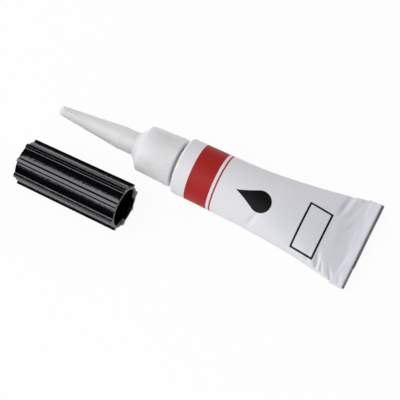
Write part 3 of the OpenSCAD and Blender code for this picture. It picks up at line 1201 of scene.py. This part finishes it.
@dataclass
class Cap:
    """The push-on cap: round wall with straight ribs, closed end, bore and an inner socket for the tip."""

    ribs: int = 8
    rib_radius: float = 5.15
    wall_radius: float = 4.6
    end_share: float = 10 / 10.3
    rib_top: float = 0.60
    flank: float = 0.36
    flank_power: float = 1.4
    rib_points: Tuple[Tuple[float, float, int], ...] = ((0, 3.2, 4), (3.5, 8.7, 21), (9.6, 22.5, 11))
    length: float = 23.95
    bore_radius: float = 3.9
    bore_depth: float = 15.26
    back_radius: float = 3.6
    depth: float = 22.76
    boss_radius: float = 2.228
    grip_mouth: float = 1.428
    grip_tip: float = 1.025
    grip_depth: float = 19.26
    edge: float = 0.1
    fine_edge: float = 0.05
    rim_edge: float = 0.15
    rim_margin: float = 0.2
    flare: float = 0.2
    flare_depth: float = 0.5
    floor_fillet: float = 0.3
    boss_fillet: float = 0.2
    end_margin: float = 0.5
    gate_depth: float = 0.12
    gate_radius: float = 0.8
    gate_slope: float = 0.1
    pole_radius: float = 0.05
    wall_rows: int = 30
    edge_rows: int = 7
    plastic: CapFinish = CapFinish()

    def angles(self) -> Array:
        """Angles round the cap: runs of degrees from each rib's middle, close together at its flanks.

        Returns:
            Angles in radians.
        """
        half = np.concatenate([np.linspace(*run) for run in self.rib_points])
        sector = np.concatenate([-half[:0:-1], half])[:-1]
        step = math.degrees(TURN) / self.ribs
        middles = (np.arange(self.ribs) + 0.5) * step
        return np.radians((middles[:, None] + sector).ravel())

    def outline(self, a: Array) -> Array:
        """Radius of the ribbed outside: wall, rounded flank and rib top.

        With t the share of the flank's width, the rib's height falls as a power of 1 - t, which leaves a
        small fillet at the wall.

        Args:
            a: angles round the cap.

        Returns:
            Radii in millimetres.
        """
        step = TURN / self.ribs
        off = (a % step) - step / 2
        sideways = np.abs(np.sin(off)) * (self.wall_radius + self.rib_radius) / 2
        left = np.clip(1 - (sideways - self.rib_top / 2) / self.flank, 0, 1)
        return self.wall_radius + (self.rib_radius - self.wall_radius) * left ** self.flank_power

    def rings(self) -> Array:
        """Rings from the middle of the closed end over the ribs and the mouth to the inner socket's floor.

        Returns:
            Points per ring and point.
        """
        a = self.angles()
        gate = self.gate_depth - self.length
        end = rounded_path([
            (gate, self.pole_radius, 0.0),
            (gate, self.gate_radius, self.fine_edge),
            (-self.length, self.gate_radius + self.gate_slope, self.fine_edge),
            (-self.length, self.wall_radius * self.end_share - self.end_margin, 0.0),
        ], step=0.6, arc=3)
        turn = np.linspace(0, QUARTER, self.edge_rows)
        rise = self.edge * np.concatenate([np.sin(turn), np.ones(self.wall_rows), np.sin(turn[::-1])])
        bend = self.edge * (1 - np.cos(turn))
        straight = np.linspace(self.edge - self.length, -self.edge, self.wall_rows + 2)[1:-1]
        run = np.concatenate([bend - self.length, straight, -bend[::-1]])
        draft = 1 + (1 - self.end_share) * run / self.length
        ribbed = self.outline(a)[None, :] * draft[:, None] - self.edge + rise[:, None]
        inner = rounded_path([
            (0.0, self.wall_radius - self.rim_margin, 0.0),
            (0.0, self.bore_radius + self.flare, self.rim_edge),
            (-self.flare_depth, self.bore_radius, self.edge),
            (-self.bore_depth, self.bore_radius, self.fine_edge),
            (-self.bore_depth, self.back_radius, self.fine_edge),
            (-self.depth, self.back_radius, self.floor_fillet),
            (-self.depth, self.boss_radius, self.boss_fillet),
            (-self.bore_depth, self.boss_radius, self.edge),
            (-self.bore_depth, self.grip_mouth, self.edge),
            (-self.grip_depth, self.grip_tip, self.edge),
            (-self.grip_depth, self.pole_radius, 0.0),
        ], step=0.9, arc=5)
        x = np.concatenate([end[:, 0], run, inner[:, 0]])[:, None]
        plain = [np.broadcast_to(path[:, 1:], (len(path), len(a))) for path in (end, inner)]
        return turned(x, np.concatenate([plain[0], ribbed, plain[1]]), a)

    def build(self) -> None:
        """Builds the cap as one surface between two poles."""
        piece = RingSurface(CAP_PLACE.place(self.rings()), End.POLE, End.POLE).make("cap_moulding")
        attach(piece, "cap")
        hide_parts("cap")
        dress(piece, self.plastic.material())


@dataclass(frozen=True)
class SoftLamp:
    """A square soft lamp that faces the object. Reflections show it only if it is mirrored."""

    name: str
    way: Triple
    size: float
    watts: float
    distance: float = 0.6
    mirrored: bool = True

    def build(self) -> None:
        """Places the lamp at its distance from the origin and turns it back to it."""
        data = bpy.data.lights.new(self.name, "AREA")
        data.shape = "SQUARE"
        data.size = self.size
        data.energy = self.watts
        lamp = bpy.data.objects.new(self.name, data)
        lamp.visible_glossy = self.mirrored
        way = Vector(self.way).normalized()
        turn = way.to_track_quat("Z", "Y").to_matrix().to_4x4()
        lamp.matrix_world = Matrix.Translation(way * self.distance) @ turn
        bpy.context.scene.collection.objects.link(lamp)


@dataclass
class Studio:
    """A white table in a room that only reflections show, three soft lamps, a black card and the camera."""

    azimuth: float = 40.1925
    elevation: float = 65.1307
    roll: float = -14.5123
    distance_mm: float = 277.3
    aim_mm: Triple = (1.395, -0.681, 4.0)
    focal_px: float = 1361.73
    clip: Pair = (0.01, 20.0)
    lamps: Tuple[SoftLamp, ...] = (
        SoftLamp("key_lamp", way=(-0.28, -0.45, 0.85), size=0.57, watts=1.8),
        SoftLamp("side_lamp", way=(-0.86, -0.2, 0.45), size=0.35, watts=0.5),
        SoftLamp("fill_lamp", way=(-0.2, -0.95, 0.22), size=0.5, watts=0.5, mirrored=False),
    )
    room_radius: float = 1.2
    room_tilt: Pair = (-0.04, 1.5)
    room_shape: Tuple[int, int] = (16, 64)
    room_light: float = 0.495
    room_fall: Pair = (-0.35, 0.3)
    room_grey: Colour = (0.004, 0.004, 0.004)
    paper_white: Colour = (0.5, 0.5, 0.5)
    paper_side: Pair = (0.12, 0.6)
    paper_top: Pair = (0.144, 0.336)
    card_at: float = -28.0
    card_size: Pair = (300.0, 9.0)
    card_thick: float = 1.0
    floor_rings: Tuple[float, ...] = (0.02, 0.1, 0.3, 0.8, 2.0, 4.0)
    floor_sides: int = 96
    floor_thick: float = 20.0
    floor_white: Colour = (0.94, 0.94, 0.94)
    floor_grain: float = 0.98
    floor_share: float = 0.93
    floor_mirrored: float = 0.25

    def camera(self) -> None:
        """Places the camera at its distance from the aim, turned about its own axis by the roll."""
        a, e, w = (math.radians(v) for v in (self.azimuth, self.elevation, self.roll))
        back = Vector((math.sin(a) * math.cos(e), -math.cos(a) * math.cos(e), math.sin(e)))
        right = Vector((math.cos(a), math.sin(a), 0))
        up = back.cross(right)
        x_axis = right * math.cos(w) + up * math.sin(w)
        y_axis = up * math.cos(w) - right * math.sin(w)
        data = bpy.data.cameras.new("photo_camera")
        data.sensor_width = SENSOR_MM
        data.lens = self.focal_px * SENSOR_MM / PICTURE_PX
        data.clip_start, data.clip_end = self.clip
        camera = bpy.data.objects.new("photo_camera", data)
        place = (Vector(self.aim_mm) + back * self.distance_mm) * MM
        turn = Matrix((x_axis, y_axis, back)).transposed().to_4x4()
        camera.matrix_world = Matrix.Translation(place) @ turn
        bpy.context.scene.collection.objects.link(camera)
        bpy.context.scene.camera = camera

    def floor(self) -> None:
        """A round white table of rings. It shows mostly as plain white, with the object's shadow."""
        a = midpoint_angles(self.floor_sides)
        radius = np.array(self.floor_rings)[:, None] / MM
        flat = np.stack([radius * np.cos(a), radius * np.sin(a), np.zeros((len(radius), len(a)))], axis=-1)
        under = flat[::-1] - np.array([0, 0, self.floor_thick])
        floor = RingSurface(np.concatenate([flat, under]), End.POLE, End.POLE).make("table_top")
        s = Shader.named("table_white")
        grain = s.noise(scale=40.0, detail=2.0)
        white = s.mix(grain, self.floor_white, tuple(self.floor_grain * c for c in self.floor_white))
        matte = s.node("ShaderNodeBsdfDiffuse", {}, {"Color": white})
        share = s.seen(self.floor_mirrored) * self.floor_share
        s.close(s.node("ShaderNodeMixShader", {}, {0: share, 1: matte, 2: s.glow(WHITE)}))
        dress(floor, s.owner)

    def room(self) -> None:
        """Dark walls, with white paper low down at the far side, that show only in reflections."""
        rows, sides = self.room_shape
        a = midpoint_angles(sides)
        tilt = np.linspace(*self.room_tilt, rows)[:, None]
        radius = self.room_radius / MM
        dome = np.stack([radius * np.cos(tilt) * np.cos(a), radius * np.cos(tilt) * np.sin(a),
                         radius * np.sin(tilt) * np.ones_like(a)], axis=-1)
        room = RingSurface(dome, End.POLE, End.POLE).make("studio_room")
        s = Shader.named("room_grey")
        y, z = (s.part(s.where(), axis) for axis in "YZ")
        paper = y.rise(*self.paper_side) * (1.0 - z.rise(*self.paper_top))
        s.close(s.glow(s.mix(paper, self.room_grey, self.paper_white)))
        self.reflect_only(room, s.owner)

    def card(self) -> None:
        """A low black card along the near side, which shows only in reflections."""
        width, height = self.card_size
        x = np.array([-0.5, 0.5, 0.5, -0.5]) * width
        y = self.card_at - np.array([0.0, 0.0, 1.0, 1.0]) * self.card_thick
        rings = np.stack([np.stack([x, y, np.full(4, z)], axis=-1) for z in (0.0, height)])
        card = RingSurface(rings, End.BRIDGE, End.BRIDGE).make("black_card")
        s = Shader.named("card_black")
        s.close(s.glow(full_colour(self.room_grey)))
        self.reflect_only(card, s.owner)

    def reflect_only(self, thing: bpy.types.Object, material: bpy.types.Material) -> None:
        """Stages a thing with a material so that it shows only in reflections.

        Args:
            thing: the object.
            material: its material.
        """
        dress(thing, material)
        thing.visible_camera = False
        thing.visible_diffuse = False
        thing.visible_shadow = False

    def world(self) -> None:
        """A plain white world behind the table. Its light falls off towards +x and grows towards +y."""
        world = bpy.data.worlds.new("white_world")
        s = Shader(world)
        way = s.node("ShaderNodeTexCoord", out="Generated")
        x, y = (s.part(way, axis) for axis in "XY")
        light = (1.0 + x * self.room_fall[0] + y * self.room_fall[1]) * self.room_light
        strength = light + s.seen() * (1.0 - light)
        s.close(s.node("ShaderNodeBackground", {}, {"Color": WHITE, "Strength": strength}))
        bpy.context.scene.world = world
        bpy.context.scene.view_settings.view_transform = "Standard"

    def build(self) -> None:
        """Builds everything that isn't part of the object."""
        self.camera()
        for lamp in self.lamps:
            lamp.build()
        self.floor()
        self.room()
        self.card()
        self.world()


def main() -> None:
    """Builds and dresses the sub-assemblies in order, then the studio."""
    logging.basicConfig(level=logging.INFO, format="%(message)s")
    glue = GlueFinish().material()
    tube = Tube()
    tube.build()
    tube.build_glue(glue)
    tube.dress_seal()
    nozzle = Nozzle()
    nozzle.build()
    nozzle.dress_glue(glue)
    Cap().build()
    Studio().build()


if __name__ == "__main__":
    main()
